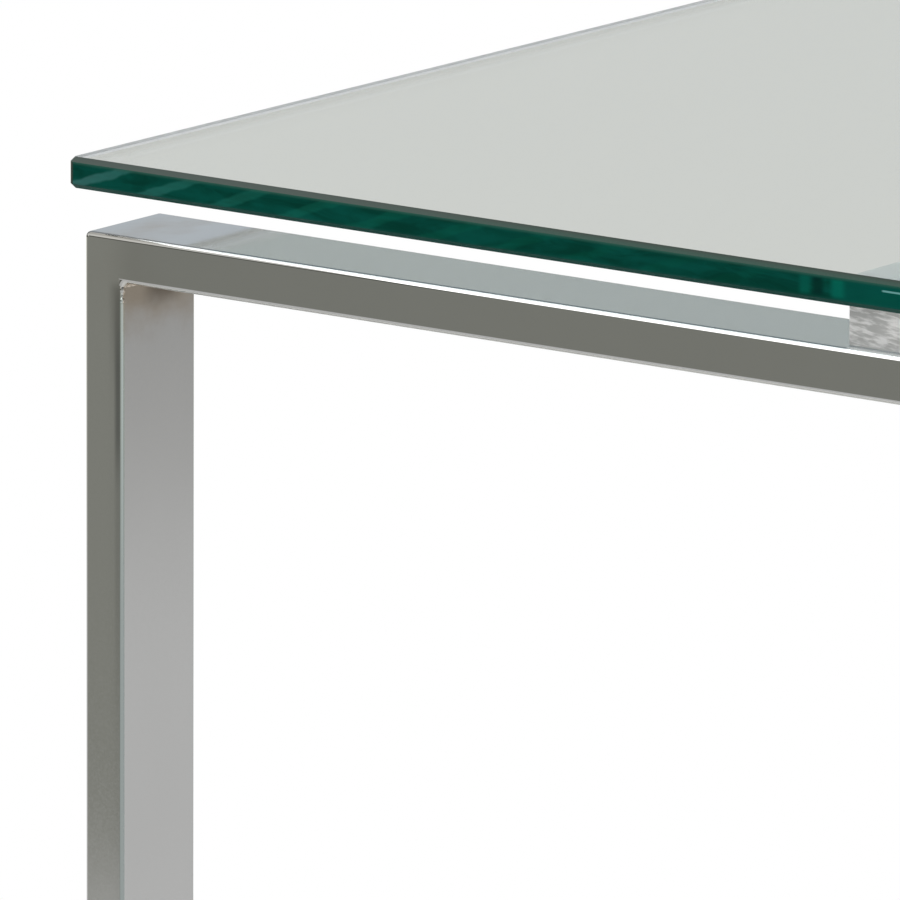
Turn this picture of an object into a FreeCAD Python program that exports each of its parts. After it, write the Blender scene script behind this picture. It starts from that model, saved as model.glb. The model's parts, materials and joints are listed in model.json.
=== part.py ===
"""Glass-topped console table on two chromed hoops of flat rectangular steel tube.

+X is the long direction, +Y points from the front hoop to the rear hoop and +Z is up. The origin is
on the floor below the middle of the glass. All sizes are in millimetres.

Each hoop is a closed frame of four mitred tubes. Four crossbars of the same tube slide over spigots
welded to the hoops, and a screw from below holds each end. Four clear blocks are screwed to the top
rails from inside the tube, and the glass is bonded on them with clear pads.
"""
import FreeCAD, Part
import math
import os
import Sketcher

DIMENSIONS = (
    # the whole table
    ("table_length", 1100.0),
    ("table_depth", 400.0),
    ("table_height", 750.0),
    # the glass: its upright corners are eased and its long edges have a polished arris
    ("glass_thickness", 8.0),
    ("glass_corner_radius", 2.0),
    ("glass_arris", 1.2),
    ("glass_overhang", 3.0),
    # the tube: its width lies along Y and its thickness is what the front shows
    ("tube_width", 30.0),
    ("tube_thickness", 12.0),
    ("tube_wall", 1.5),
    ("tube_edge_radius", 1.2),
    ("hoop_corner_radius", 1.5),
    ("weld_bead_radius", 2.4),
    # the clear blocks on the top rails: the inset runs from the hoop's end to the block
    ("block_length", 40.0),
    ("block_width", 24.0),
    ("block_height", 10.0),
    ("block_inset", 230.0),
    ("block_arris", 0.3),
    ("pad_thickness", 1.0),
    ("pad_margin", 1.0),
    # a crossbar's joint: a solid spigot inside the tube, and a button-head screw from below
    ("spigot_length", 25.0),
    ("spigot_clearance", 0.2),
    ("bar_screw_radius", 2.5),
    ("bar_screw_bite", 7.0),
    ("bar_screw_head_radius", 4.75),
    ("bar_screw_head_height", 2.75),
    ("bar_screw_key", 3.0),
    ("screw_hole_clearance", 0.25),
    # a block's screw, the hole in the rail that it is driven through and that hole's plug
    ("block_screw_radius", 2.0),
    ("block_screw_bite", 7.0),
    ("block_screw_head_radius", 3.8),
    ("block_screw_head_height", 2.2),
    ("block_screw_key", 2.5),
    ("block_hole_spare", 1.0),
    ("access_hole_radius", 5.0),
    ("plug_rim", 1.5),
    ("plug_head_height", 1.2),
    ("plug_stem_length", 3.0),
    # the glides under the bottom rails: the inset runs from the hoop's end to the glide's middle
    ("glide_radius", 11.0),
    ("glide_thickness", 5.0),
    ("glide_bevel", 1.0),
    ("glide_inset", 40.0),
    ("glide_stem_radius", 4.0),
    ("glide_stem_length", 7.0),
)

# Places worked out from the sheet, as expressions
HOOP_END = "(dims.table_length / 2 - dims.glass_overhang)"
HOOP_MIDDLE = "(dims.table_depth / 2 - dims.glass_overhang - dims.tube_width / 2)"
RAIL_TOP = "(dims.table_height - dims.glass_thickness - dims.pad_thickness - dims.block_height)"
RAIL_UNDERSIDE = f"({RAIL_TOP} - dims.tube_thickness)"
HOOP_UNDERSIDE = "dims.glide_thickness"
BAR_LENGTH = f"(2 * {HOOP_MIDDLE} - dims.tube_width)"
BLOCK_MIDDLE = f"({HOOP_END} - dims.block_inset - dims.block_length / 2)"
GLIDE_MIDDLE = f"({HOOP_END} - dims.glide_inset)"
SPIGOT_MIDDLE = f"({BAR_LENGTH} / 2 - dims.spigot_length / 2)"
HALF_WIDTH = "dims.tube_width / 2"
ONE_WALL = "dims.tube_thickness / 2"  # a cut this deep goes through one wall and ends in the hollow

SIDES = (("front", -1), ("rear", 1))
ENDS = (("left", -1), ("right", 1))
LEVELS = (("top", RAIL_UNDERSIDE), ("bottom", HOOP_UNDERSIDE))  # where the tubes' underside lies

# Rotations named for where they lay an object's own axes
Z_ALONG_Y = FreeCAD.Rotation(FreeCAD.Vector(1, 0, 0), -90)
Y_ALONG_Z = FreeCAD.Rotation(FreeCAD.Vector(1, 0, 0), 90)
Y_ALONG_X = FreeCAD.Rotation(FreeCAD.Vector(1, 1, 1), -120)

doc = FreeCAD.newDocument("console_table")
sheet = doc.addObject("Spreadsheet::Sheet", "dims")
nodes = []


def fill_sheet():
    """Gives each driving dimension a cell and an alias."""
    for row, (alias, value) in enumerate(DIMENSIONS, start=1):
        sheet.set(f"A{row}", alias)
        sheet.set(f"B{row}", str(value))
        sheet.setAlias(f"B{row}", alias)
    doc.recompute()


def size(expression):
    """An expression's value in millimetres."""
    return float(sheet.evalExpression(expression))


# ---------------------------------------------------------------- objects tied to the sheet


def add(kind, name, rotation=None, x=None, y=None, z=None, **sizes):
    """Adds an object whose sizes and place are expressions."""
    item = doc.addObject(kind, name)
    if rotation is not None:
        item.Placement.Rotation = rotation
    for measure, expression in sizes.items():
        item.setExpression(measure, expression)
    for axis, expression in (("x", x), ("y", y), ("z", z)):
        if expression is not None:
            item.setExpression("Placement.Base." + axis, expression)
    return item


def combine(kind, name, base, tool):
    """Cuts one object with another, or keeps what the two share."""
    item = doc.addObject(kind, name)
    item.Base = base
    item.Tool = tool
    return item


def join(name, pieces):
    """Makes one solid of pieces that overlap or touch."""
    item = doc.addObject("Part::MultiFuse", name)
    item.Shapes = pieces
    return item


def group(name, pieces):
    """Puts separate solids into one sub-part."""
    item = doc.addObject("Part::Compound", name)
    item.Links = pieces
    return item


def keep(label, item):
    """Marks an object as a finished sub-part with a name of its own."""
    item.Label = label
    nodes.append(item)


# ---------------------------------------------------------------- sketches


def new_sketch(body, name, plane, offset=None):
    """A sketch on one of the body's own origin planes, lifted off it by an expression."""
    sketch = body.newObject("Sketcher::SketchObject", name)
    supports = [item for item in body.Origin.OriginFeatures if item.Role == plane]
    sketch.AttachmentSupport = [(supports[0], "")]
    sketch.MapMode = "FlatFace"
    if offset is not None:
        sketch.setExpression("AttachmentOffset.Base.z", offset)
    return sketch


def fix(sketch, kind, name, expression, *where):
    """Adds a dimension and ties it to the sheet."""
    index = sketch.addConstraint(Sketcher.Constraint(kind, *where, size(expression)))
    sketch.renameConstraint(index, name)
    sketch.setExpression("Constraints." + name, expression)


def fix_rectangle(sketch, name, sides, edges):
    """Squares up the sides right, top, left and bottom, and dimensions them from the origin."""
    right, top, left, bottom = sides
    low_x, high_x, low_y, high_y = edges
    for side in (right, left):
        sketch.addConstraint(Sketcher.Constraint("Vertical", side))
    for side in (top, bottom):
        sketch.addConstraint(Sketcher.Constraint("Horizontal", side))
    fix(sketch, "DistanceX", name + "_right", high_x, -1, 1, right, 1)
    fix(sketch, "DistanceX", name + "_left", low_x, -1, 1, left, 1)
    fix(sketch, "DistanceY", name + "_top", high_y, -1, 1, top, 1)
    fix(sketch, "DistanceY", name + "_bottom", low_y, -1, 1, bottom, 1)


def rectangle(sketch, name, *edges, radius=None):
    """A rectangle between the expressions low x, high x, low y and high y; a radius rounds its corners."""
    low_x, high_x, low_y, high_y = (size(edge) for edge in edges)
    r = size(radius) if radius else 0
    ends = (
        ((high_x, low_y + r), (high_x, high_y - r)),
        ((high_x - r, high_y), (low_x + r, high_y)),
        ((low_x, high_y - r), (low_x, low_y + r)),
        ((low_x + r, low_y), (high_x - r, low_y)),
    )
    sides = []
    for start, end in ends:
        segment = Part.LineSegment(FreeCAD.Vector(*start, 0), FreeCAD.Vector(*end, 0))
        sides.append(sketch.addGeometry(segment, False))
    if radius:
        round_corners(sketch, name, sides, ends, r, radius)
    else:
        for side, following in zip(sides, sides[1:] + sides[:1]):
            sketch.addConstraint(Sketcher.Constraint("Coincident", side, 2, following, 1))
    fix_rectangle(sketch, name, sides, edges)


def round_corners(sketch, name, sides, ends, r, radius):
    """Joins a rectangle's sides with equal tangent arcs."""
    inward = ((-r, 0), (0, -r), (r, 0), (0, r))
    arcs = []
    for quarter, ((_, end), (shift_x, shift_y)) in enumerate(zip(ends, inward)):
        centre = FreeCAD.Vector(end[0] + shift_x, end[1] + shift_y, 0)
        circle = Part.Circle(centre, FreeCAD.Vector(0, 0, 1), r)
        arc = Part.ArcOfCircle(circle, quarter * math.pi / 2, (quarter + 1) * math.pi / 2)
        arcs.append(sketch.addGeometry(arc, False))
    for arc, side, following in zip(arcs, sides, sides[1:] + sides[:1]):
        sketch.addConstraint(Sketcher.Constraint("Tangent", side, 2, arc, 1))
        sketch.addConstraint(Sketcher.Constraint("Tangent", arc, 2, following, 1))
    for arc in arcs[1:]:
        sketch.addConstraint(Sketcher.Constraint("Equal", arcs[0], arc))
    fix(sketch, "Radius", name + "_radius", radius, arcs[0])


def circle(sketch, name, radius, x=None, y=None):
    """A circle placed by expressions, or on an axis of the sketch where one is left out."""
    centre = FreeCAD.Vector(size(x) if x else 0, size(y) if y else 0, 0)
    shape = Part.Circle(centre, FreeCAD.Vector(0, 0, 1), size(radius))
    index = sketch.addGeometry(shape, False)
    fix(sketch, "Radius", name + "_radius", radius, index)
    for kind, suffix, expression, axis in (("DistanceX", "_x", x, -2), ("DistanceY", "_y", y, -1)):
        if expression:
            fix(sketch, kind, name + suffix, expression, -1, 1, index, 3)
        else:
            sketch.addConstraint(Sketcher.Constraint("PointOnObject", index, 3, axis))


# ---------------------------------------------------------------- features of a body


def pad(body, sketch, length, symmetric=False):
    """Extrudes a sketch along its normal, or half to each side of its plane."""
    feature = body.newObject("PartDesign::Pad", sketch.Name + "_pad")
    feature.Profile = sketch
    feature.SideType = "Symmetric" if symmetric else "One side"
    feature.setExpression("Length", length)
    sketch.Visibility = False
    doc.recompute()
    return feature


def pocket(body, sketch, depth, symmetric=False, along_normal=False):
    """Cuts a sketch out of the body against its normal, along it, or half to each side."""
    before = body.Shape.Volume
    feature = body.newObject("PartDesign::Pocket", sketch.Name + "_pocket")
    feature.Profile = sketch
    feature.SideType = "Symmetric" if symmetric else "One side"
    feature.Reversed = along_normal
    feature.setExpression("Length", depth)
    sketch.Visibility = False
    doc.recompute()
    if body.Shape.Volume >= before:
        raise RuntimeError(feature.Name + " cuts nothing")
    return feature


def faces_across(feature, axis):
    """Names of the flat faces whose normal lies along an axis."""
    names = []
    for index, face in enumerate(feature.Shape.Faces, start=1):
        flat = isinstance(face.Surface, Part.Plane)
        if flat and abs(face.normalAt(0, 0).dot(axis)) > 0.999:
            names.append(f"Face{index}")
    return names


def dress(body, kind, base, faces, **amount):
    """Rounds or bevels every edge of the named faces."""
    feature = body.newObject(kind, base.Name + "_edges")
    feature.Base = (base, faces)
    for name, expression in amount.items():
        feature.setExpression(name, expression)
    doc.recompute()
    return feature


# ---------------------------------------------------------------- glass, blocks and pads


def make_glass():
    """The glass: a plate with eased corners and an arris round its top and bottom."""
    body = add("PartDesign::Body", "glass", z="dims.table_height - dims.glass_thickness")
    outline = new_sketch(body, "glass_outline", "XY_Plane")
    end = "dims.table_length / 2"
    edge = "dims.table_depth / 2"
    rectangle(outline, "plate", "-" + end, end, "-" + edge, edge, radius="dims.glass_corner_radius")
    plate = pad(body, outline, "dims.glass_thickness")
    faces = faces_across(plate, FreeCAD.Vector(0, 0, 1))
    dress(body, "PartDesign::Chamfer", plate, faces, Size="dims.glass_arris")
    keep("glass_top", body)


def make_block(name, x, y):
    """A clear block with fine arrises and a tapped blind hole in its underside."""
    body = add("PartDesign::Body", name, x=x, y=y, z=RAIL_TOP)
    outline = new_sketch(body, name + "_outline", "XY_Plane")
    end = "dims.block_length / 2"
    edge = "dims.block_width / 2"
    rectangle(outline, "block", "-" + end, end, "-" + edge, edge)
    cuboid = pad(body, outline, "dims.block_height")
    every_face = [f"Face{index + 1}" for index in range(len(cuboid.Shape.Faces))]
    dress(body, "PartDesign::Chamfer", cuboid, every_face, Size="dims.block_arris")
    hole = new_sketch(body, name + "_hole", "XY_Plane")
    circle(hole, "tapping", "dims.block_screw_radius")
    pocket(body, hole, "dims.block_screw_bite + dims.block_hole_spare", along_normal=True)
    keep(name, body)


def make_pad(name, x, y):
    """A clear pad that bonds the glass to a block."""
    length = "(dims.block_length - 2 * dims.pad_margin)"
    width = "(dims.block_width - 2 * dims.pad_margin)"
    item = add(
        "Part::Box",
        name,
        x=f"{x} - {length} / 2",
        y=f"{y} - {width} / 2",
        z=f"{RAIL_TOP} + dims.block_height",
        Length=length,
        Width=width,
        Height="dims.pad_thickness",
    )
    keep(name, item)


# ---------------------------------------------------------------- hoops


def ring(sketch, name, inset, radius=None):
    """A hoop's outline, with rounded corners if a radius is given, and its window.

    Both are moved into the tube's wall by an inset.
    """
    end = f"{HOOP_END} - {inset}"
    window = f"{HOOP_END} - dims.tube_thickness + {inset}"
    low = f"{HOOP_UNDERSIDE} + {inset}"
    high = f"{RAIL_TOP} - {inset}"
    rectangle(sketch, name + "_outer", f"-({end})", end, low, high, radius=radius)
    low = f"{HOOP_UNDERSIDE} + dims.tube_thickness - {inset}"
    high = f"{RAIL_UNDERSIDE} + {inset}"
    rectangle(sketch, name + "_window", f"-({window})", window, low, high)


def drill(body, name, holes_at, radius, height, along_normal):
    """Two holes through one wall of a rail, one at each end of the hoop."""
    sketch = new_sketch(body, name, "XY_Plane", height)
    for end, sign in ENDS:
        circle(sketch, end, radius, x=f"{sign} * {holes_at}")
    pocket(body, sketch, ONE_WALL, along_normal=along_normal)


def make_hoop_form(side, sign):
    """A whole hoop, hollow all round, with its rounded edges and the holes in its rails."""
    body = add("PartDesign::Body", side + "_hoop_form", y=f"{sign} * {HOOP_MIDDLE}")
    outline = new_sketch(body, side + "_outline", "XZ_Plane")
    ring(outline, "tube", "0", radius="dims.hoop_corner_radius")
    solid = pad(body, outline, "dims.tube_width", symmetric=True)
    faces = faces_across(solid, FreeCAD.Vector(0, 1, 0))
    dress(body, "PartDesign::Fillet", solid, faces, Radius="dims.tube_edge_radius")
    hollow = new_sketch(body, side + "_hollow", "XZ_Plane")
    ring(hollow, "hollow", "dims.tube_wall")
    pocket(body, hollow, "dims.tube_width - 2 * dims.tube_wall", symmetric=True)
    screw_hole = "dims.block_screw_radius + dims.screw_hole_clearance"
    drill(body, side + "_screw_holes", BLOCK_MIDDLE, screw_hole, RAIL_TOP, False)
    drill(body, side + "_access_holes", BLOCK_MIDDLE, "dims.access_hole_radius", RAIL_UNDERSIDE, True)
    drill(body, side + "_glide_holes", GLIDE_MIDDLE, "dims.glide_stem_radius", HOOP_UNDERSIDE, True)
    return body


def make_mitre_wedges():
    """Four wedges between the hoops' 45-degree mitre planes, one for each tube of a hoop."""
    reach = "dims.tube_width"
    width = (f"{HOOP_END} + {reach}", f"{HOOP_END} - {reach}")
    low = (f"{HOOP_UNDERSIDE} - {reach}", f"{HOOP_UNDERSIDE} + {reach}")
    high = (f"{RAIL_TOP} + {reach}", f"{RAIL_TOP} - {reach}")
    outer, inner = 0, 1
    across = [(f"-({width[k]})", width[k]) for k in (outer, inner)]
    upright = [(low[k], high[k]) for k in (outer, inner)]
    # each: rotation, where the wedge starts and ends along its own Y, and its span at either end
    plans = {
        "left_leg": (Y_ALONG_X, across[outer][0], across[inner][0], upright[outer], upright[inner]),
        "right_leg": (Y_ALONG_X, width[inner], width[outer], upright[inner], upright[outer]),
        "top_rail": (Y_ALONG_Z, high[inner], high[outer], across[inner], across[outer]),
        "bottom_rail": (Y_ALONG_Z, low[outer], low[inner], across[outer], across[inner]),
    }
    wedges = {}
    for name, (rotation, start, finish, first, last) in plans.items():
        wedges[name] = add(
            "Part::Wedge",
            name + "_wedge",
            rotation,
            Ymin=start,
            Ymax=finish,
            Xmin=first[0],
            Xmax=first[1],
            X2min=last[0],
            X2max=last[1],
            Zmin="-dims.table_depth / 2",
            Zmax="dims.table_depth / 2",
            Z2min="-dims.table_depth / 2",
            Z2max="dims.table_depth / 2",
        )
    return wedges


def make_weld_beads(side, sign):
    """A quarter-round weld bead along each inner corner of a hoop."""
    length = "(dims.tube_width - 2 * dims.tube_edge_radius)"
    corners = (("left", "top", 0), ("right", "top", 90), ("right", "bottom", 180), ("left", "bottom", 270))
    heights = {"top": RAIL_UNDERSIDE, "bottom": f"{HOOP_UNDERSIDE} + dims.tube_thickness"}
    beads = []
    for end, level, turn in corners:
        bead = add(
            "Part::Cylinder",
            f"{side}_{level}_{end}_bead",
            Z_ALONG_Y.multiply(FreeCAD.Rotation(FreeCAD.Vector(0, 0, 1), turn)),
            x=f"{dict(ENDS)[end]} * ({HOOP_END} - dims.tube_thickness)",
            y=f"{sign} * {HOOP_MIDDLE} - {length} / 2",
            z=heights[level],
            Radius="dims.weld_bead_radius",
            Height=length,
        )
        bead.Angle = 90
        beads.append(bead)
    keep(side + "_weld_beads", group(side + "_beads", beads))


def make_hoops():
    """Both hoops, each cut at its mitres into four tubes, and their weld beads."""
    wedges = make_mitre_wedges()
    for side, sign in SIDES:
        form = make_hoop_form(side, sign)
        for name, wedge in wedges.items():
            tube = combine("Part::Common", f"{side}_{name}_tube", form, wedge)
            keep(f"{side}_{name}", tube)
        make_weld_beads(side, sign)


# ---------------------------------------------------------------- crossbars and their joints


def make_crossbar(name, x, z):
    """A tube from hoop to hoop with a screw hole in its underside near each end."""
    body = add("PartDesign::Body", name, x=x, z=z)
    section = new_sketch(body, name + "_section", "XZ_Plane")
    outer = (f"-{HALF_WIDTH}", HALF_WIDTH, "0", "dims.tube_thickness")
    rectangle(section, "outer", *outer, radius="dims.tube_edge_radius")
    wall = "dims.tube_wall"
    inner = (f"-{HALF_WIDTH} + {wall}", f"{HALF_WIDTH} - {wall}", wall, f"dims.tube_thickness - {wall}")
    rectangle(section, "hollow", *inner)
    pad(body, section, BAR_LENGTH, symmetric=True)
    holes = new_sketch(body, name + "_holes", "XY_Plane")
    for side, sign in SIDES:
        hole = "dims.bar_screw_radius + dims.screw_hole_clearance"
        circle(holes, side, hole, y=f"{sign} * {SPIGOT_MIDDLE}")
    pocket(body, holes, ONE_WALL, along_normal=True)
    keep(name, body)


def make_spigot(name, x, y, z):
    """A solid spigot that fits a crossbar's hollow, with a tapped hole right through it."""
    gap = "(dims.tube_wall + dims.spigot_clearance)"
    width = f"(dims.tube_width - 2 * {gap})"
    bar = add(
        "Part::Box",
        name + "_bar",
        x=f"{x} - {width} / 2",
        y=f"{y} - dims.spigot_length / 2",
        z=f"{z} + {gap}",
        Length=width,
        Width="dims.spigot_length",
        Height=f"dims.tube_thickness - 2 * {gap}",
    )
    hole = add(
        "Part::Cylinder",
        name + "_hole",
        x=x,
        y=y,
        z=z,
        Radius="dims.bar_screw_radius",
        Height="dims.tube_thickness",
    )
    keep(name, combine("Part::Cut", name, bar, hole))


def make_screw(name, kind, x, y, z):
    """A button-head screw with a hexagon socket, head down, whose head seats at height z."""
    height = f"dims.{kind}_head_height"
    rim = f"dims.{kind}_head_radius"
    ball = f"(({rim} * {rim} + {height} * {height}) / (2 * {height}))"
    head = add("Part::Sphere", name + "_head", x=x, y=y, z=f"{z} - {height} + {ball}", Radius=ball)
    head.Angle1 = -90
    head.setExpression("Angle2", f"-asin(({ball} - {height}) / {ball})")
    shank = add(
        "Part::Cylinder",
        name + "_shank",
        x=x,
        y=y,
        z=z,
        Radius=f"dims.{kind}_radius",
        Height=f"dims.tube_wall + dims.{kind}_bite",
    )
    socket = add(
        "Part::Prism",
        name + "_socket",
        x=x,
        y=y,
        z=f"{z} - 2 * {height}",
        Circumradius=f"dims.{kind}_key / sqrt(3)",
        Height=f"1.6 * {height}",
    )
    blank = join(name + "_blank", [head, shank])
    return combine("Part::Cut", name, blank, socket)


def make_crossbars():
    """Four crossbars with a spigot and a screw at each end."""
    screws = []
    for level, z in LEVELS:
        for end, end_sign in ENDS:
            x = f"{end_sign} * {BLOCK_MIDDLE}"
            make_crossbar(f"{level}_{end}_crossbar", x, z)
            for side, side_sign in SIDES:
                y = f"{side_sign} * {SPIGOT_MIDDLE}"
                make_spigot(f"{level}_{end}_{side}_spigot", x, y, z)
                screws.append(make_screw(f"{level}_{end}_{side}_bar_screw", "bar_screw", x, y, z))
    keep("crossbar_screws", group("bar_screws", screws))


# ---------------------------------------------------------------- block fixings and glides


def make_plug(name, x, y):
    """A plug with a bevelled head that closes an access hole in a rail's underside."""
    head = add(
        "Part::Cone",
        name + "_head",
        x=x,
        y=y,
        z=f"{RAIL_UNDERSIDE} - dims.plug_head_height",
        Radius1="dims.access_hole_radius + dims.plug_rim / 2",
        Radius2="dims.access_hole_radius + dims.plug_rim",
        Height="dims.plug_head_height",
    )
    stem = add(
        "Part::Cylinder",
        name + "_stem",
        x=x,
        y=y,
        z=RAIL_UNDERSIDE,
        Radius="dims.access_hole_radius",
        Height="dims.plug_stem_length",
    )
    return join(name, [head, stem])


def make_glass_supports():
    """A block, a pad, a screw and a plug at four places on the top rails."""
    screws = []
    plugs = []
    for side, side_sign in SIDES:
        for end, end_sign in ENDS:
            x = f"{end_sign} * {BLOCK_MIDDLE}"
            y = f"{side_sign} * {HOOP_MIDDLE}"
            make_block(f"{side}_{end}_block", x, y)
            make_pad(f"{side}_{end}_pad", x, y)
            seat = f"({RAIL_TOP} - dims.tube_wall)"
            screws.append(make_screw(f"{side}_{end}_block_screw", "block_screw", x, y, seat))
            plugs.append(make_plug(f"{side}_{end}_plug", x, y))
    keep("block_screws", group("all_block_screws", screws))
    keep("rail_hole_plugs", group("all_plugs", plugs))


def make_glide(name, x, y):
    """A bevelled floor glide whose stem presses into the bottom rail."""
    bevel = add(
        "Part::Cone",
        name + "_bevel",
        x=x,
        y=y,
        Radius1="dims.glide_radius - dims.glide_bevel",
        Radius2="dims.glide_radius",
        Height="dims.glide_bevel",
    )
    disc = add(
        "Part::Cylinder",
        name + "_disc",
        x=x,
        y=y,
        z="dims.glide_bevel",
        Radius="dims.glide_radius",
        Height="dims.glide_thickness - dims.glide_bevel",
    )
    stem = add(
        "Part::Cylinder",
        name + "_stem",
        x=x,
        y=y,
        z="dims.glide_thickness",
        Radius="dims.glide_stem_radius",
        Height="dims.glide_stem_length",
    )
    keep(name, join(name, [bevel, disc, stem]))


def make_glides():
    for side, side_sign in SIDES:
        for end, end_sign in ENDS:
            x = f"{end_sign} * {GLIDE_MIDDLE}"
            make_glide(f"{side}_{end}_glide", x, f"{side_sign} * {HOOP_MIDDLE}")


# ---------------------------------------------------------------- check and write


def check():
    """Stops if any object failed or any sub-part has no sound shape."""
    doc.recompute()
    for item in doc.Objects:
        if "Invalid" in item.State or "Error" in item.State:
            raise RuntimeError(f"{item.Name} failed: {item.State}")
    for item in nodes:
        if item.Shape.isNull() or not item.Shape.isValid() or not item.Shape.Solids:
            raise RuntimeError(f"{item.Label} has no sound shape")


def write():
    os.makedirs("parts", exist_ok=True)
    for item in nodes:
        item.Shape.exportStep(f"parts/{item.Label}.step")


fill_sheet()
make_glass()
make_hoops()
make_crossbars()
make_glass_supports()
make_glides()
check()
write()
for node in nodes:
    box = node.Shape.BoundBox
    measured = f"{box.XLength:.2f} x {box.YLength:.2f} x {box.ZLength:.2f}"
    print(f"{node.Label}: {len(node.Shape.Solids)} solid(s), {measured}")
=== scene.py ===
"""Looks of the glass-topped console table: chromed tube, green-edged glass and clear blocks."""
import json
import math
import random

import bmesh
import bpy
from mathutils import Matrix, Vector, noise


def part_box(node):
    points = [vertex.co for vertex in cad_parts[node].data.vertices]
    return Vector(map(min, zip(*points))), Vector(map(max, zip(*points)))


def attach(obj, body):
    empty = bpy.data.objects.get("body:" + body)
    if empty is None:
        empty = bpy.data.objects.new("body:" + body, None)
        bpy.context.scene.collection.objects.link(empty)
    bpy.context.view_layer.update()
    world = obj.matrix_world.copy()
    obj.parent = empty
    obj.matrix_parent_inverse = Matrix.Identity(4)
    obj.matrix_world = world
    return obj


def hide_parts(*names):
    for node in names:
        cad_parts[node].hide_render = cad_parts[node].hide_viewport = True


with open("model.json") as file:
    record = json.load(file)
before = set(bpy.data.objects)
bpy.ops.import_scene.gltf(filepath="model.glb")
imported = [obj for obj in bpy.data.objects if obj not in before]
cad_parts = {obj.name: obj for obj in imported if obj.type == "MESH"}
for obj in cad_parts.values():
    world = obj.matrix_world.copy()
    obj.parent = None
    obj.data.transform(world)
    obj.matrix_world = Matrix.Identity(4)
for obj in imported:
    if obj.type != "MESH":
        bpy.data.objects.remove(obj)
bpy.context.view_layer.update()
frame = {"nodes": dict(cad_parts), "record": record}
scene = bpy.context.scene
nodes = frame["nodes"]

glass_low, glass_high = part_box("glass_top")
hoop_low, hoop_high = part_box("front_left_leg")
rail_low, rail_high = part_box("front_top_rail")
block_low, block_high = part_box("front_left_block")

# The table is the same on its left and right and at its front and rear, so these places are
# distances from its middle, in metres like every length here.
TUBE = rail_high.z - rail_low.z
TUBE_MIDDLE = -(hoop_low.y + hoop_high.y) / 2
HOOP_END = -hoop_low.x
INNER_X = HOOP_END - TUBE
INNER_TOP = rail_low.z
INNER_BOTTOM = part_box("front_bottom_rail")[1].z
BLOCK_OUTSIDE = -block_low.x
BLOCK_INSIDE = -block_high.x
BLOCK_FRONT = -block_low.y
GLASS_THICKNESS = glass_high.z - glass_low.z
EDGE_RADIUS = 0.0012


class Nodes:
    """Short calls for wiring the nodes of one material or world."""

    def __init__(self, holder):
        holder.use_nodes = True
        self.tree = holder.node_tree
        self.tree.nodes.clear()

    def new(self, kind, **settings):
        node = self.tree.nodes.new("ShaderNode" + kind)
        for name, value in settings.items():
            setattr(node, name, value)
        return node

    def put(self, socket, value):
        """Links value to a socket, or sets the socket to it."""
        if isinstance(value, bpy.types.NodeSocket):
            self.tree.links.new(value, socket)
        elif isinstance(value, tuple) and socket.type == "RGBA":
            socket.default_value = (*value, 1)
        else:
            socket.default_value = value

    def math(self, operation, *values):
        node = self.new("Math", operation=operation)
        for socket, value in zip(node.inputs, values):
            self.put(socket, value)
        return node.outputs[0]

    def plus(self, first, second):
        return self.math("ADD", first, second)

    def minus(self, first, second):
        return self.math("SUBTRACT", first, second)

    def times(self, first, *others):
        for other in others:
            first = self.math("MULTIPLY", first, other)
        return first

    def size(self, value):
        return self.math("ABSOLUTE", value)

    def over(self, value, limit):
        """One where value is over limit, and zero elsewhere."""
        return self.math("GREATER_THAN", value, limit)

    def vector(self, operation, *values, output=0):
        node = self.new("VectorMath", operation=operation)
        for socket, value in zip(node.inputs, values):
            self.put(socket, value)
        return node.outputs[output]

    def scaled(self, vector, factor):
        node = self.new("VectorMath", operation="SCALE")
        self.put(node.inputs[0], vector)
        self.put(node.inputs["Scale"], factor)
        return node.outputs[0]

    def ramp(self, value, start, end, low=0.0, high=1.0):
        """Goes smoothly from low at start to high at end."""
        node = self.new("MapRange", interpolation_type="SMOOTHSTEP")
        for socket, number in zip(node.inputs, (value, start, end, low, high)):
            self.put(socket, number)
        return node.outputs[0]

    def mix(self, factor, first, second):
        """The first colour at factor zero, and the second at factor one."""
        node = self.new("Mix", data_type="RGBA")
        self.put(node.inputs[0], factor)
        self.put(node.inputs[6], first)
        self.put(node.inputs[7], second)
        return node.outputs[2]

    def split(self, vector):
        node = self.new("SeparateXYZ")
        self.put(node.inputs[0], vector)
        return node.outputs

    def join(self, *values):
        node = self.new("CombineXYZ")
        for socket, value in zip(node.inputs, values):
            self.put(socket, value)
        return node.outputs[0]

    def place(self):
        return self.new("TexCoord").outputs["Object"]

    def normal(self):
        """The surface's direction, as three numbers."""
        return self.split(self.new("NewGeometry").outputs["Normal"])

    def noise(self, vector, stretch, detail=2.0, roughness=0.5, distortion=0.0):
        """Noise with its own number of features a metre along each axis."""
        node = self.new("TexNoise")
        self.put(node.inputs["Vector"], self.vector("MULTIPLY", vector, stretch))
        self.put(node.inputs["Scale"], 1.0)
        self.put(node.inputs["Detail"], detail)
        self.put(node.inputs["Roughness"], roughness)
        self.put(node.inputs["Distortion"], distortion)
        return node.outputs[0]

    def bump(self, height):
        """A bump from a height in metres."""
        node = self.new("Bump")
        self.put(node.inputs["Strength"], 1.0)
        self.put(node.inputs["Distance"], 1.0)
        self.put(node.inputs["Height"], height)
        return node.outputs[0]

    def principled(self, **inputs):
        """A Principled shader; input names are written with _ for each space."""
        node = self.new("BsdfPrincipled")
        for name, value in inputs.items():
            self.put(node.inputs[name.replace("_", " ")], value)
        return node.outputs[0]

    def background(self, colour):
        node = self.new("Background")
        self.put(node.inputs["Color"], colour)
        return node.outputs[0]

    def choose(self, factor, first, second):
        """The first shader at factor zero, and the second at factor one."""
        node = self.new("MixShader")
        for socket, value in zip(node.inputs, (factor, first, second)):
            self.put(socket, value)
        return node.outputs[0]

    def finish(self, surface, output="OutputMaterial"):
        self.put(self.new(output).inputs["Surface"], surface)


# ---------------------------------------------------------------- camera

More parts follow.
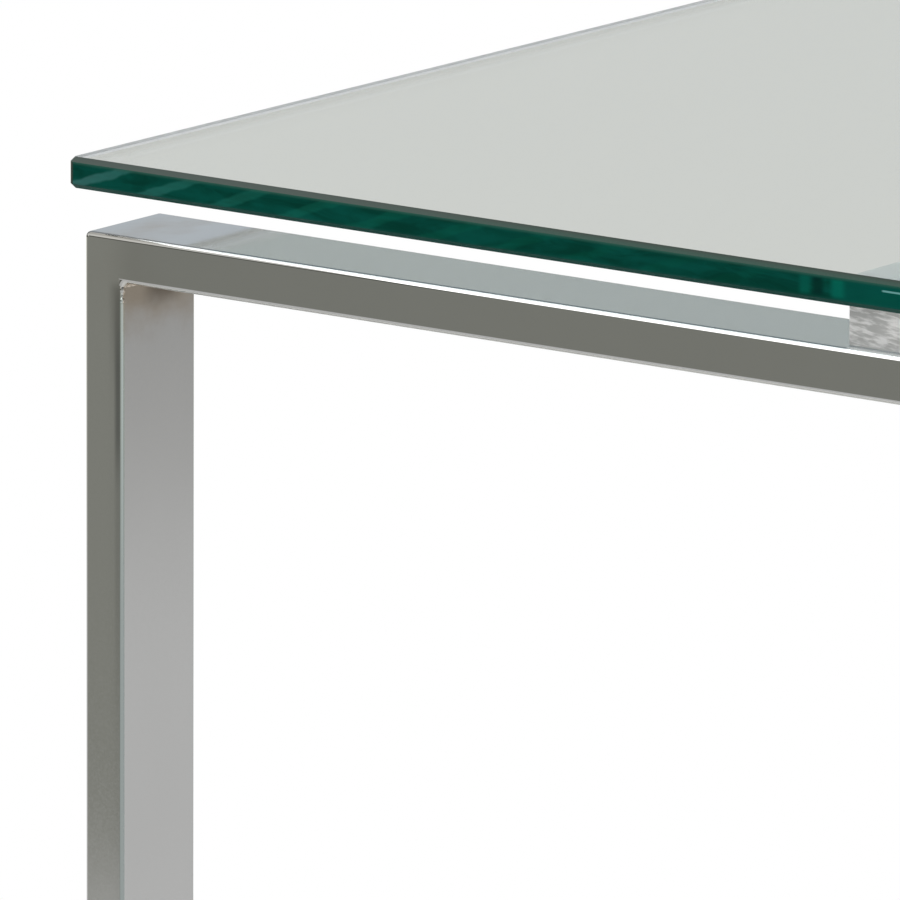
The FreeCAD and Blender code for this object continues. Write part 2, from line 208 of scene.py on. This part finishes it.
SENSOR = 36.0
LENS = 560.0
AZIMUTH = math.radians(36.447)
ELEVATION = math.radians(12.353)
ROLL = math.radians(0.288)
FROM_CORNER = Vector((2.1046, -2.6959, 0.6933))


def make_camera():
    """A long lens that looks at the top's front left corner from the front right."""
    data = bpy.data.cameras.new("camera")
    data.sensor_width = SENSOR
    data.lens = LENS
    data.clip_end = 100.0
    camera = bpy.data.objects.new("camera", data)
    scene.collection.objects.link(camera)
    back = Vector(
        (
            math.sin(AZIMUTH) * math.cos(ELEVATION),
            -math.cos(AZIMUTH) * math.cos(ELEVATION),
            math.sin(ELEVATION),
        )
    )
    roll = Matrix.Rotation(ROLL, 3, "Z").to_quaternion()
    camera.rotation_mode = "QUATERNION"
    camera.rotation_quaternion = (-back).to_track_quat("-Z", "Y") @ roll
    top_corner = Vector((hoop_low.x, hoop_low.y, rail_high.z))
    camera.location = top_corner + FROM_CORNER
    scene.camera = camera


make_camera()


# ---------------------------------------------------------------- studio

WHITE = (1.0, 1.0, 1.0)
FRONT = (-0.594, -0.804, -0.10)
DARK_WALL = (0.260, 0.264, 0.236)
# each wall's direction, the angle within which it is full, the angle where it ends, and its colour
WALLS = (
    (FRONT, 22, 52, DARK_WALL),
    ((0.594, 0.804, 0.00), 20, 48, (0.43, 0.43, 0.42)),
    ((0.800, -0.600, -0.10), 16, 30, (1.00, 1.00, 0.99)),
)
SOFTBOX = (-0.45, -0.60, 0.66)
SOFTBOX_LIGHT = (2.7, 2.68, 2.65)
SIDE_BOX = (0.70, 0.25, 0.67)
SIDE_BOX_LIGHT = (1.7, 1.72, 1.75)
BELOW_HORIZON = (0.650, 0.645, 0.570)
ABOVE_HORIZON = (0.590, 0.620, 0.645)
GROUND = (0.650, 0.650, 0.648)
CEILING = (0.36, 0.37, 0.38)


def make_world():
    """White behind the table; the chrome and glass mirror a studio of grey walls and white panels."""
    world = bpy.data.worlds.new("studio")
    scene.world = world
    n = Nodes(world)
    direction = n.new("TexCoord").outputs["Generated"]
    height = n.split(direction)[2]

    def within(centre, inner, outer):
        """One inside inner degrees of centre, falling to zero at outer degrees."""
        cosine = n.vector("DOT_PRODUCT", direction, tuple(Vector(centre).normalized()), output=1)
        return n.ramp(cosine, math.cos(math.radians(outer)), math.cos(math.radians(inner)))

    colour = n.mix(n.ramp(height, -0.06, 0.10), BELOW_HORIZON, ABOVE_HORIZON)
    for centre, inner, outer, paint in WALLS:
        colour = n.mix(within(centre, inner, outer), colour, paint)
    colour = n.mix(n.ramp(height, -0.200, -0.230), colour, GROUND)
    dark_above_ground = n.times(within(FRONT, 22, 40), n.ramp(height, -0.262, -0.236))
    colour = n.mix(dark_above_ground, colour, DARK_WALL)
    colour = n.mix(n.ramp(height, 0.24, 0.36), colour, CEILING)
    softbox = n.times(within(SOFTBOX, 38, 48), n.ramp(height, 0.02, 0.16))
    colour = n.mix(softbox, colour, SOFTBOX_LIGHT)
    colour = n.mix(within(SIDE_BOX, 20, 30), colour, SIDE_BOX_LIGHT)

    seen = n.new("LightPath").outputs["Is Camera Ray"]
    n.finish(n.choose(seen, n.background(colour), n.background(WHITE)), "OutputWorld")
    scene.view_settings.view_transform = "Standard"


FLOOR_RADIUS = 1.9
FLOOR_RINGS = 12
FLOOR_SPOKES = 96
FLOOR_FADE = (0.75, 1.85)


def make_floor():
    """A pale round floor that fades out into the white behind it."""
    mesh = bpy.data.meshes.new("floor")
    shape = bmesh.new()
    centre = shape.verts.new((0, 0, 0))
    last = None
    for ring in range(1, FLOOR_RINGS + 1):
        reach = FLOOR_RADIUS * ring / FLOOR_RINGS
        row = [
            shape.verts.new((reach * math.cos(turn), reach * math.sin(turn), 0))
            for turn in (2 * math.pi * spoke / FLOOR_SPOKES for spoke in range(FLOOR_SPOKES))
        ]
        for i, vertex in enumerate(row):
            after = (i + 1) % FLOOR_SPOKES
            if last is None:
                shape.faces.new((centre, vertex, row[after]))
            else:
                shape.faces.new((last[i], vertex, row[after], last[after]))
        last = row
    shape.to_mesh(mesh)
    shape.free()
    floor = bpy.data.objects.new("floor", mesh)
    scene.collection.objects.link(floor)
    material = bpy.data.materials.new("floor")
    n = Nodes(material)
    place = n.place()
    grain = n.noise(place, (3.0, 3.0, 3.0))
    paint = n.mix(grain, (0.80, 0.80, 0.795), (0.84, 0.84, 0.835))
    surface = n.principled(Base_Color=paint, Roughness=0.6)
    fade = n.ramp(n.vector("LENGTH", place, output=1), *FLOOR_FADE)
    n.finish(n.choose(fade, surface, n.new("BsdfTransparent").outputs[0]))
    mesh.materials.append(material)


make_world()
make_floor()


# ---------------------------------------------------------------- chrome

PLATE = ((0.625, 0.626, 0.620), (0.660, 0.660, 0.655))
# painted lighter reflection on the legs' fronts
LEG_FRONT_REFLECTION = (0.725, 0.725, 0.715)
# painted shade on the rails' tops under the glass
TOP_SHADE_UNDER_GLASS = (0.400, 0.470, 0.490)
# painted lighter reflection on the rails' tops past the glass's end
TOP_LIGHT_PAST_GLASS = (0.545, 0.578, 0.602)
# painted reflection of a block on the rail's top in front of it
BLOCK_REFLECTION = (0.740, 0.780, 0.790)
# painted shade on the fronts beside a leg's inner edge, near an inside corner
CORNER_SHADE = (0.360, 0.360, 0.350)
# painted, dimmer reflection on the rails' lower rounded edges
LOWER_ROUNDING_REFLECTION = (0.445, 0.447, 0.425)
# painted shade on the rounding of the rails' upper edges
UPPER_ROUNDING_SHADE = ((0.190, 0.190, 0.180), (0.125, 0.125, 0.118))
# painted highlight on the rounded inner edge of a leg's front
EDGE_HIGHLIGHT = (0.440, 0.490, 0.480)
# painted dark reflection beside a leg's inner edge
DARK_REFLECTION_LINE = (0.200, 0.210, 0.215)
HEAT_BROWN = (0.420, 0.360, 0.290)
SOOT_BROWN = (0.170, 0.140, 0.110)

STAIN_REACH = 0.018
STAIN_WANDER = 0.012
SOOT_REACH = 0.0092
SOOT_WIDTH = 0.010
SOOT_WANDER = 0.003
SOOT_SHIFT = 0.0015
SHADOW_REACH = 0.034
TAPER = 0.150
END_TAPER = 0.032


class Spot:
    """Where a point of the chrome lies on its hoop, and which way it faces."""

    def __init__(self, n):
        self.place = n.place()
        x, y, z = n.split(self.place)
        normal = n.normal()
        self.height = z
        self.wide = n.size(x)
        self.deep = n.size(y)
        self.up = normal[2]
        self.facing = n.size(normal[1])
        # inward from the hoop's end, outward from a leg's inner face, and into the hoop's opening
        self.inset = n.minus(HOOP_END, self.wide)
        self.side = n.minus(self.wide, INNER_X)
        self.window = n.math("MINIMUM", n.minus(INNER_TOP, z), n.minus(z, INNER_BOTTOM))
        # from the nearest inside corner
        rise = n.math("MINIMUM", n.size(n.minus(z, INNER_TOP)), n.size(n.minus(z, INNER_BOTTOM)))
        self.away = n.math("SQRT", n.plus(n.times(self.side, self.side), n.times(rise, rise)))
        self.blotches = n.minus(n.noise(self.place, (150.0, 110.0, 150.0)), 0.5)


def heat_stain(n, spot):
    """The bloom that welding leaves round an inside corner, strongest inside the opening."""
    reach = n.plus(spot.away, n.times(spot.blotches, STAIN_WANDER))
    return n.times(n.ramp(reach, STAIN_REACH, 0.002), n.ramp(spot.facing, 0.8, 0.3, 0.10, 1.0))


def soot(n, spot):
    """The dark smudge beside the weld, in the middle of the tube's inside."""
    across = n.size(n.minus(spot.deep, TUBE_MIDDLE - SOOT_SHIFT))
    reach = n.plus(spot.away, n.times(spot.blotches, SOOT_WANDER))
    smudge = n.times(n.ramp(reach, SOOT_REACH, 0.0032), n.ramp(across, SOOT_WIDTH, 0.0015))
    return n.times(smudge, n.ramp(spot.facing, 0.75, 0.35))


def rail_top(n, spot):
    """One on the top faces of the upper tubes."""
    return n.times(n.ramp(spot.up, 0.6, 0.95), n.over(spot.height, INNER_TOP))


def beside_block(n, spot):
    """One on the strip of a rail's top between its outer edge and a block, where the block's
    reflection is painted.
    """
    before_end = n.over(BLOCK_OUTSIDE - 0.001, spot.wide)
    past_start = n.over(spot.wide, BLOCK_INSIDE)
    outward = n.over(spot.deep, BLOCK_FRONT)
    return n.times(before_end, past_start, outward, rail_top(n, spot))


def tone_faces(n, spot):
    """The plain plate, with painted light and shade: paler on the legs' fronts, greener on the rails'
    tops under the glass.
    """
    clouds = n.noise(spot.place, (40.0, 40.0, 14.0), detail=5.0, roughness=0.55)
    plate = n.mix(clouds, *PLATE)
    leg = n.ramp(spot.side, -0.004, 0.006)
    # painted reflection: the legs' fronts paler than the rest of the plate
    plate = n.mix(n.times(leg, spot.facing), plate, LEG_FRONT_REFLECTION)
    # painted shade on the rails' tops under the glass, and a lighter painted reflection past its end
    top_light_and_shade = n.mix(n.ramp(spot.inset, 0.047, 0.034), TOP_SHADE_UNDER_GLASS, TOP_LIGHT_PAST_GLASS)
    return n.mix(rail_top(n, spot), plate, top_light_and_shade)


def tone_roundings(n, spot, plate):
    """Paints shade on the fronts near an inside corner, and painted reflection and shade on the
    rails' rounded edges.
    """
    # painted shade on the tubes' fronts beside the leg's inner edge, near an inside corner
    shadow = n.times(n.ramp(spot.window, -0.001, 0.002), n.ramp(spot.window, SHADOW_REACH, 0.006))
    lip = n.times(n.ramp(spot.side, 0.0050, 0.0010), shadow, spot.facing)
    plate = n.mix(n.times(lip, 0.7), plate, CORNER_SHADE)

    # painted, dimmer reflection on the rails' lower rounded edges
    lower = n.times(n.ramp(spot.up, -0.05, -0.60), n.ramp(spot.up, -0.995, -0.965))
    lower = n.times(lower, n.over(spot.height, INNER_TOP - 0.001))
    plate = n.mix(lower, plate, LOWER_ROUNDING_REFLECTION)

    # painted shade on the lower part of an upper rounded edge, so the light along it is thinner
    # towards the hoop's end
    along_rail = n.ramp(spot.inset, TAPER, 0.030, 0.0, 0.52)
    at_end = n.ramp(spot.inset, END_TAPER, 0.013, 0.0, 0.32)
    rolled = n.minus(spot.up, n.plus(along_rail, at_end))
    upper = n.times(n.ramp(rolled, 0.03, -0.03), n.ramp(spot.up, 0.02, 0.10))
    return n.mix(upper, plate, n.mix(n.ramp(spot.up, 0.35, 0.65), *UPPER_ROUNDING_SHADE))


def tone_leg_edge(n, spot, plate):
    """A painted highlight, a light line on the rounded inner edge of each leg's front, and a painted
    dark reflection line beside it.
    """
    opening = n.ramp(spot.window, 0.001, 0.005)
    rounded = n.times(n.ramp(spot.facing, 0.15, 0.40), n.ramp(spot.facing, 0.995, 0.96))
    light = n.times(rounded, n.ramp(spot.side, 0.0015, 0.0011), opening)
    # painted highlight on the leg's rounded inner edge
    plate = n.mix(light, plate, EDGE_HIGHLIGHT)
    # painted dark reflection line beside the edge, strongest near the corner and fading down the leg
    line = n.times(n.ramp(spot.side, 0.0030, 0.0016), n.ramp(spot.side, 0.0005, 0.0011))
    near_corner = n.ramp(n.size(n.minus(spot.window, 0.030)), 0.026, 0.006, 0.0, 0.45)
    strength = n.plus(near_corner, n.ramp(spot.window, 0.130, 0.070, 0.0, 0.20))
    dark = n.times(line, strength, opening, n.ramp(spot.facing, 0.5, 0.8))
    return n.mix(dark, plate, DARK_REFLECTION_LINE)


def chrome(name, lumpy=False):
    """Chrome plate with polishing marks, a slow waviness, heat stains round the inside corners, and
    painted shade, highlights and reflections.
    """
    material = bpy.data.materials.new(name)
    n = Nodes(material)
    spot = Spot(n)
    strip = beside_block(n, spot)
    stain = heat_stain(n, spot)
    plate = tone_faces(n, spot)
    plate = tone_roundings(n, spot, plate)
    # painted reflection of the block on the strip of rail top in front of it
    plate = n.mix(strip, plate, BLOCK_REFLECTION)
    plate = tone_leg_edge(n, spot, plate)
    plate = n.mix(n.times(stain, 0.95), plate, HEAT_BROWN)
    plate = n.mix(n.times(soot(n, spot), 0.9), plate, SOOT_BROWN)

    marks = n.noise(spot.place, (1500.0, 1500.0, 1500.0), detail=3.0, roughness=0.7)
    rough = n.plus(n.ramp(marks, 0.3, 0.8, 0.045, 0.085), n.times(stain, 0.12))
    waves = n.times(n.noise(spot.place, (22.0, 22.0, 22.0), detail=1.0), 4.0e-5)
    if lumpy:
        grain = n.times(n.noise(spot.place, (1300.0, 1300.0, 1300.0), detail=3.0), 1.0e-5)
    else:
        grain = n.times(n.noise(spot.place, (700.0, 700.0, 700.0), detail=1.0), 5.0e-7)
    surface = n.principled(
        Base_Color=plate,
        # less metallic where the block's reflection is painted on the rail
        Metallic=n.ramp(strip, 0.0, 1.0, 1.0, 0.75),
        Roughness=rough,
        Normal=n.bump(n.plus(waves, grain)),
    )
    n.finish(surface)
    return material


# ---------------------------------------------------------------- glass

CLEAR = (0.965, 0.980, 0.974)
RIM_INSIDE = (0.90, 0.92, 0.91)
GREEN = ((0.0003, 0.0290, 0.0200), (0.0010, 0.0500, 0.0380))
# painted light: the rim's green brighter along the block
GREEN_LIT_BY_BLOCK = (0.0006, 0.0560, 0.0430)
# painted light and shade: upright bands that the block's end makes in the rim: place outward of it,
# half width and colour
BLOCK_LIGHT_BANDS = (
    (0.0050, 0.0026, (0.0006, 0.0200, 0.0160)),
    (-0.0008, 0.0030, (0.0008, 0.0840, 0.0600)),
    (0.0088, 0.0024, (0.0008, 0.0620, 0.0450)),
)
# painted streaks of light inside the glass's rim
STREAK_SLOPE = 0.369
STREAK_WANDER = 0.0024
STREAK_LIGHT = (0.026, 0.052, 0.056)
STREAK_FADES = (15.0 / 0.382, 5.1 / 0.382, 7.5 / 0.382)
RIM_FOOT = (0.018, 0.065, 0.055)
RIM_HEAD = (0.022, 0.076, 0.058)
# a painted glint on the rim, and its level
GLINT = (0.10, 0.26, 0.25)
GLINT_LEVEL = 0.00515
EASED_CORNER = (0.024, 0.036, 0.029)
ARRIS = ((0.024, 0.050, 0.040), (0.042, 0.078, 0.063))
ARRIS_TOP = (0.036, 0.044, 0.038)
ARRIS_AT_CORNER = (0.060, 0.072, 0.067)
# painted shade on the downward bevels
ARRIS_SHADE_BELOW = (0.007, 0.048, 0.038)


def clear_glass(n, place, tint=CLEAR, rough=0.0, clear=1.0):
    """The shader of clean float glass, very slightly wavy."""
    waves = n.times(n.noise(place, (9.0, 14.0, 9.0), detail=1.0), 1.0e-5)
    return n.principled(
        Base_Color=tint,
        Roughness=rough,
        IOR=1.52,
        Transmission_Weight=clear,
        Normal=n.bump(waves),
    )


def glass_face():
    """The glass's two polished faces."""
    material = bpy.data.materials.new("float_glass")
    n = Nodes(material)
    n.finish(clear_glass(n, n.place()))
    return material


def streaks(n, place, run, level):
    """Painted light that zigzags along inside the sheet and fades with its run from the corner."""
    wander = n.times(n.minus(n.noise(place, (130.0, 130.0, 130.0)), 0.5), STREAK_WANDER)
    slant = n.plus(n.minus(level, n.times(run, STREAK_SLOPE)), wander)
    turns = n.math("DIVIDE", slant, GLASS_THICKNESS)
    apart = n.size(n.minus(turns, n.math("ROUND", turns)))
    fades = [n.math("EXPONENT", n.times(run, -rate)) for rate in STREAK_FADES]
    light = n.vector("MULTIPLY", n.join(*fades), STREAK_LIGHT)
    return n.scaled(light, n.ramp(apart, 0.20, 0.09))


def rim_colour(n, place, run, level, outward, long_side):
    """The rim's upright face: deep green, with painted streaks of light, the block's painted bands of
    light and shade, and a thin painted glint.
    """
    depth = n.noise(place, (60.0, 60.0, 260.0), detail=3.0, roughness=0.6, distortion=0.6)
    green = n.mix(n.ramp(depth, 0.3, 0.7), *GREEN)
    # painted light: the rim greener and brighter where it runs along the block
    green = n.mix(n.times(n.ramp(outward, 0.002, -0.004), 0.7), green, GREEN_LIT_BY_BLOCK)
    tall = n.times(n.ramp(level, 0.0012, 0.0026), n.ramp(level, 0.0068, 0.0056), long_side)
    # the block's painted bands of light and shade
    for centre, width, colour in BLOCK_LIGHT_BANDS:
        gap = n.size(n.minus(outward, centre))
        green = n.mix(n.times(n.ramp(gap, width, width * 0.2), tall), green, colour)
    rim = n.vector("ADD", green, streaks(n, place, run, level))
    rim = n.mix(n.times(n.ramp(level, 0.0019, 0.0010), 0.3), rim, RIM_FOOT)
    rim = n.mix(n.ramp(level, 0.0059, 0.0070), rim, RIM_HEAD)
    # a thin painted glint part way up the long side's rim
    thin = n.ramp(n.size(n.minus(level, GLINT_LEVEL)), 0.00032, 0.00012)
    length = n.times(n.ramp(outward, -0.0134, -0.0142), n.ramp(outward, -0.0400, -0.0390))
    return n.mix(n.times(thin, length, long_side), rim, GLINT)


def arris_colour(n, ground, run, level, up):
    """The ground bevels: greyer at the top and towards a corner, and a darker green painted shade
    underneath.
    """
    arris = n.mix(ground, *ARRIS)
    arris = n.mix(n.ramp(level, 0.0071, 0.0079, 0.0, 0.7), arris, ARRIS_TOP)
    arris = n.mix(n.ramp(run, 0.17, 0.07, 0.0, 0.7), arris, ARRIS_AT_CORNER)
    # painted shade: the downward bevels darker green
    return n.mix(n.ramp(up, 0.0, -0.3), arris, ARRIS_SHADE_BELOW)


def glass_rim():
    """The glass's edge all round, and the softer look that it has from inside the sheet."""
    material = bpy.data.materials.new("glass_rim")
    n = Nodes(material)
    place = n.place()
    x, y, z = n.split(place)
    normal = n.normal()
    wide = n.size(x)
    outward = n.minus(wide, BLOCK_OUTSIDE)
    level = n.minus(z, glass_low.z)
    long_side = n.over(n.size(normal[1]), n.size(normal[0]))
    run_long = n.times(n.minus(glass_high.x, wide), long_side)
    run_short = n.times(n.minus(glass_high.y, n.size(y)), n.minus(1.0, long_side))
    run = n.plus(run_long, run_short)

    rim = rim_colour(n, place, run, level, outward, long_side)
    eased = n.ramp(n.times(n.size(normal[0]), n.size(normal[1])), 0.03, 0.28)
    rim = n.mix(eased, rim, EASED_CORNER)
    bevelled = n.ramp(n.size(normal[2]), 0.12, 0.5)
    ground = n.noise(place, (2600.0, 2600.0, 2600.0), detail=3.0, roughness=0.7)
    rim = n.mix(bevelled, rim, arris_colour(n, ground, run, level, normal[2]))
    scratch = n.times(n.noise(place, (500.0, 500.0, 3000.0), detail=3.0), 6.0e-7)
    grit = n.times(ground, 1.2e-5, bevelled)
    outside = n.principled(
        Base_Color=rim,
        Roughness=n.ramp(bevelled, 0.0, 1.0, 0.08, 0.42),
        Specular_IOR_Level=0.05,
        Normal=n.bump(n.plus(scratch, grit)),
    )
    backfacing = n.new("NewGeometry").outputs["Backfacing"]
    n.finish(n.choose(backfacing, outside, clear_glass(n, place, RIM_INSIDE, 0.35, 0.5)))
    return material


# ---------------------------------------------------------------- other materials

SAW_SLOPE = 0.09
SAW_DEPTH = 1.6e-4


def acrylic():
    """Clear acrylic whose sides keep the slanting marks of the saw."""
    material = bpy.data.materials.new("acrylic_block")
    n = Nodes(material)
    x, y, z = n.split(n.place())
    upright = n.ramp(n.size(n.normal()[2]), 0.8, 0.4)
    sloped = n.join(x, y, n.plus(z, n.times(x, SAW_SLOPE)))
    coarse = n.noise(sloped, (240.0, 240.0, 1150.0), detail=3.0, distortion=0.3)
    fine = n.noise(sloped, (500.0, 500.0, 3600.0), detail=3.0, roughness=0.7)
    marks = n.plus(n.times(coarse, 0.82), n.times(fine, 0.18))
    frost = n.plus(n.times(n.ramp(marks, 0.42, 0.65), upright), n.minus(1.0, upright))
    surface = n.principled(
        Base_Color=n.mix(frost, (0.55, 0.555, 0.545), (1.0, 1.0, 0.995)),
        Roughness=n.ramp(upright, 0.0, 1.0, 0.10, 0.45),
        IOR=1.49,
        Transmission_Weight=0.5,
        Normal=n.bump(n.times(marks, SAW_DEPTH, upright)),
    )
    n.finish(surface)
    return material


def mottled(name, dark, pale, features, roughness):
    """A pale, faintly mottled surface."""
    material = bpy.data.materials.new(name)
    n = Nodes(material)
    mottle = n.noise(n.place(), (features, features, features), detail=3.0)
    n.finish(n.principled(Base_Color=n.mix(mottle, dark, pale), Roughness=roughness))
    return material


def steel(name, colour, roughness):
    """Plain turned or drawn steel."""
    material = bpy.data.materials.new(name)
    n = Nodes(material)
    drawn = n.noise(n.place(), (2500.0, 250.0, 2500.0), detail=4.0, roughness=0.7)
    dull = tuple(0.75 * share for share in colour)
    surface = n.principled(
        Base_Color=n.mix(drawn, dull, colour),
        Metallic=1.0,
        Roughness=n.ramp(drawn, 0.2, 0.8, roughness, roughness + 0.15),
        Normal=n.bump(n.times(drawn, 4.0e-6)),
    )
    n.finish(surface)
    return material


def plastic():
    """Black moulded plastic with a fine grain."""
    material = bpy.data.materials.new("black_plastic")
    n = Nodes(material)
    grain = n.noise(n.place(), (1800.0, 1800.0, 1800.0), detail=3.0, roughness=0.6)
    surface = n.principled(
        Base_Color=n.mix(grain, (0.012, 0.012, 0.012), (0.030, 0.030, 0.031)),
        Roughness=n.ramp(grain, 0.3, 0.7, 0.42, 0.60),
        Normal=n.bump(n.times(grain, 3.0e-5)),
    )
    n.finish(surface)
    return material


materials = {
    "chrome": chrome("chrome_plate"),
    "glass": glass_face(),
    "acrylic": acrylic(),
    "pad": mottled("bonding_pad", (0.44, 0.56, 0.49), (0.52, 0.63, 0.56), 450.0, 0.3),
    "weld": chrome("chromed_weld", lumpy=True),
    "spigot": steel("drawn_steel", (0.50, 0.50, 0.49), 0.35),
    "screw": steel("zinc_plate", (0.62, 0.62, 0.60), 0.25),
    "plastic": plastic(),
}
# the faces of a block that are held against the rail and the pad
held_face = mottled("bonded_face", (0.52, 0.55, 0.54), (0.62, 0.65, 0.64), 600.0, 0.45)


# ---------------------------------------------------------------- making pieces


def add_skin(shape, rows):
    """Closes a row of rings of vertices into a solid."""
    for first, second in zip(rows, rows[1:]):
        for i in range(len(first)):
            j = (i + 1) % len(first)
            shape.faces.new((first[i], first[j], second[j], second[i]))
    shape.faces.new(rows[0][::-1])
    shape.faces.new(rows[-1])


def make_piece(name, shape, slot, node, smooth):
    """Makes a visible piece of a shape, in place of a CAD node."""
    mesh = bpy.data.meshes.new(name)
    shape.to_mesh(mesh)
    shape.free()
    for face in mesh.polygons:
        face.use_smooth = smooth
    mesh.materials.append(materials[slot])
    piece = bpy.data.objects.new(name, mesh)
    scene.collection.objects.link(piece)
    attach(piece, "root")
    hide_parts(node)


# ---------------------------------------------------------------- welds

FILLET = 0.0017
FILLET_STEPS = 12
FILLET_SLICES = 150
FILLET_CLEARANCE = 0.00002
ROOT = 0.0004
SUNK = 0.00012
LUMP = 0.00014
LUMPS_A_METRE = 900
RIPPLE = 0.00003
RIPPLES_A_METRE = 4200
DROPS = 7
DROP_START = 0.0016
DROP_RUN = 0.0062
DROP_RADIUS = 0.00078
DROP_SHRINK = 0.060
DROP_INSET = 0.00065
DROP_DEPTH = 0.00070
DROP_STRETCH = 1.7


def round_off(depth):
    """How far a tube's rounded edge falls away at a depth behind its face."""
    short = max(0.0, EDGE_RADIUS - depth)
    return EDGE_RADIUS - math.sqrt(EDGE_RADIUS**2 - short**2)


def add_fillet(shape, corner, inward, low_y, high_y):
    """A hollow, rippled weld across one inside corner of a hoop, sunk a little into both tubes."""
    rows = []
    for cut in range(FILLET_SLICES + 1):
        y = low_y + (high_y - low_y) * cut / FILLET_SLICES
        fall = round_off(min(y - low_y, high_y - y))
        row = []
        for step in range(FILLET_STEPS + 1):
            turn = math.pi / 2 * step / FILLET_STEPS
            middle = math.sin(2 * turn)
            seed = Vector((corner[0], y, corner[1])) * LUMPS_A_METRE
            seed.z += step * 0.35
            ripple = RIPPLE * math.sin(y * RIPPLES_A_METRE + 2 * turn)
            lump = (LUMP * noise.noise(seed) + ripple) * middle
            reach = FILLET + fall + SUNK * (1 - middle) - lump
            row.append(
                shape.verts.new(
                    (
                        corner[0] + inward[0] * (FILLET - reach * math.cos(turn)),
                        y,
                        corner[1] + inward[1] * (FILLET - reach * math.sin(turn)),
                    )
                )
            )
        root = fall + ROOT
        row.append(shape.verts.new((corner[0] - inward[0] * root, y, corner[1] - inward[1] * root)))
        rows.append(row)
    add_skin(shape, rows)


def add_spatter(shape, chance, corner, inward, edge_y, into):
    """Drops of weld metal that ran along the leg's inside edge, larger near the corner."""
    for drop in range(DROPS):
        run = DROP_START + DROP_RUN * (drop / (DROPS - 1)) ** 1.2
        size = (DROP_RADIUS - DROP_SHRINK * (run - DROP_START)) * chance.uniform(0.75, 1.1)
        middle = Vector(
            (
                corner[0] - inward[0] * (DROP_INSET + chance.uniform(-0.0002, 0.0003)),
                edge_y + into * (DROP_DEPTH + chance.uniform(-0.0001, 0.0001)),
                corner[1] + inward[1] * run,
            )
        )
        grown = bmesh.ops.create_icosphere(shape, subdivisions=3, radius=size)
        for vertex in grown["verts"]:
            spot = vertex.co * (1 + 0.30 * noise.noise(vertex.co * 1500 + middle * 5000))
            spot.z *= DROP_STRETCH
            vertex.co = spot + middle


def make_welds(side, chance):
    """The four inside welds of a hoop, in place of the plain beads."""
    low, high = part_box(side + "_left_leg")
    outward_edge = (low.y, 1) if side == "front" else (high.y, -1)
    shape = bmesh.new()
    for across in (-1, 1):
        for upright, level in ((1, INNER_TOP), (-1, INNER_BOTTOM)):
            corner = (across * INNER_X, level)
            inward = (-across, -upright)
            add_fillet(shape, corner, inward, low.y + FILLET_CLEARANCE, high.y - FILLET_CLEARANCE)
            add_spatter(shape, chance, corner, inward, *outward_edge)
    bmesh.ops.recalc_face_normals(shape, faces=shape.faces)
    make_piece(side + "_welds", shape, "weld", side + "_weld_beads", smooth=True)


# ---------------------------------------------------------------- bonding pads

PAD_RADIUS = 0.0015
PAD_ARC_STEPS = 8
# height as a share of half the pad's thickness, and how far the edge bulges there
PAD_PROFILE = ((-1.0, 0.0), (-0.6, 0.00025), (0.0, 0.00040), (0.5, 0.00025), (0.84, 0.0))
QUARTERS = ((1, 1), (-1, 1), (-1, -1), (1, -1))


def make_bond(corner):
    """A bonding pad with a bulging edge, a hair below the glass so that light reaches it."""
    node = corner + "_pad"
    low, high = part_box(node)
    middle = (low + high) / 2
    half = (high - low) / 2
    shape = bmesh.new()
    rows = []
    for level, bulge in PAD_PROFILE:
        reach = PAD_RADIUS + bulge
        row = []
        for quarter, sign in enumerate(QUARTERS):
            for step in range(PAD_ARC_STEPS + 1):
                angle = math.pi / 2 * (quarter + step / PAD_ARC_STEPS)
                row.append(
                    shape.verts.new(
                        (
                            middle.x + sign[0] * (half.x - PAD_RADIUS) + reach * math.cos(angle),
                            middle.y + sign[1] * (half.y - PAD_RADIUS) + reach * math.sin(angle),
                            middle.z + half.z * level,
                        )
                    )
                )
        rows.append(row)
    add_skin(shape, rows)
    make_piece(corner + "_bond", shape, "pad", node, smooth=False)


# ---------------------------------------------------------------- dressing the CAD's nodes

LEVEL = 0.95
GLASS_SOFTNESS = 0.0007


def add_material(node, material, level):
    """Gives a node a second material, on its level faces or on all but those."""
    mesh = nodes[node].data
    mesh.materials.append(material)
    for face in mesh.polygons:
        face.material_index = int((abs(face.normal.z) > LEVEL) == level)


def soften(item, width):
    """Takes the sharpness off a piece's edges."""
    weld = item.modifiers.new("joined", "WELD")
    weld.merge_threshold = 1e-6
    bevel = item.modifiers.new("softened", "BEVEL")
    bevel.limit_method = "ANGLE"
    bevel.angle_limit = math.radians(30)
    bevel.width = width
    bevel.segments = 3
    shading = item.modifiers.new("shading", "WEIGHTED_NORMAL")
    shading.keep_sharp = False


for entry in frame["record"]["subparts"]:
    mesh = nodes[entry["node"]].data
    mesh.materials.clear()
    mesh.materials.append(materials[entry["material_slot"]])

add_material("glass_top", glass_rim(), level=False)
soften(nodes["glass_top"], GLASS_SOFTNESS)

chance = random.Random(7)
for side in ("front", "rear"):
    make_welds(side, chance)

for corner in ("front_left", "front_right", "rear_left", "rear_right"):
    make_bond(corner)
    add_material(corner + "_block", held_face, level=True)
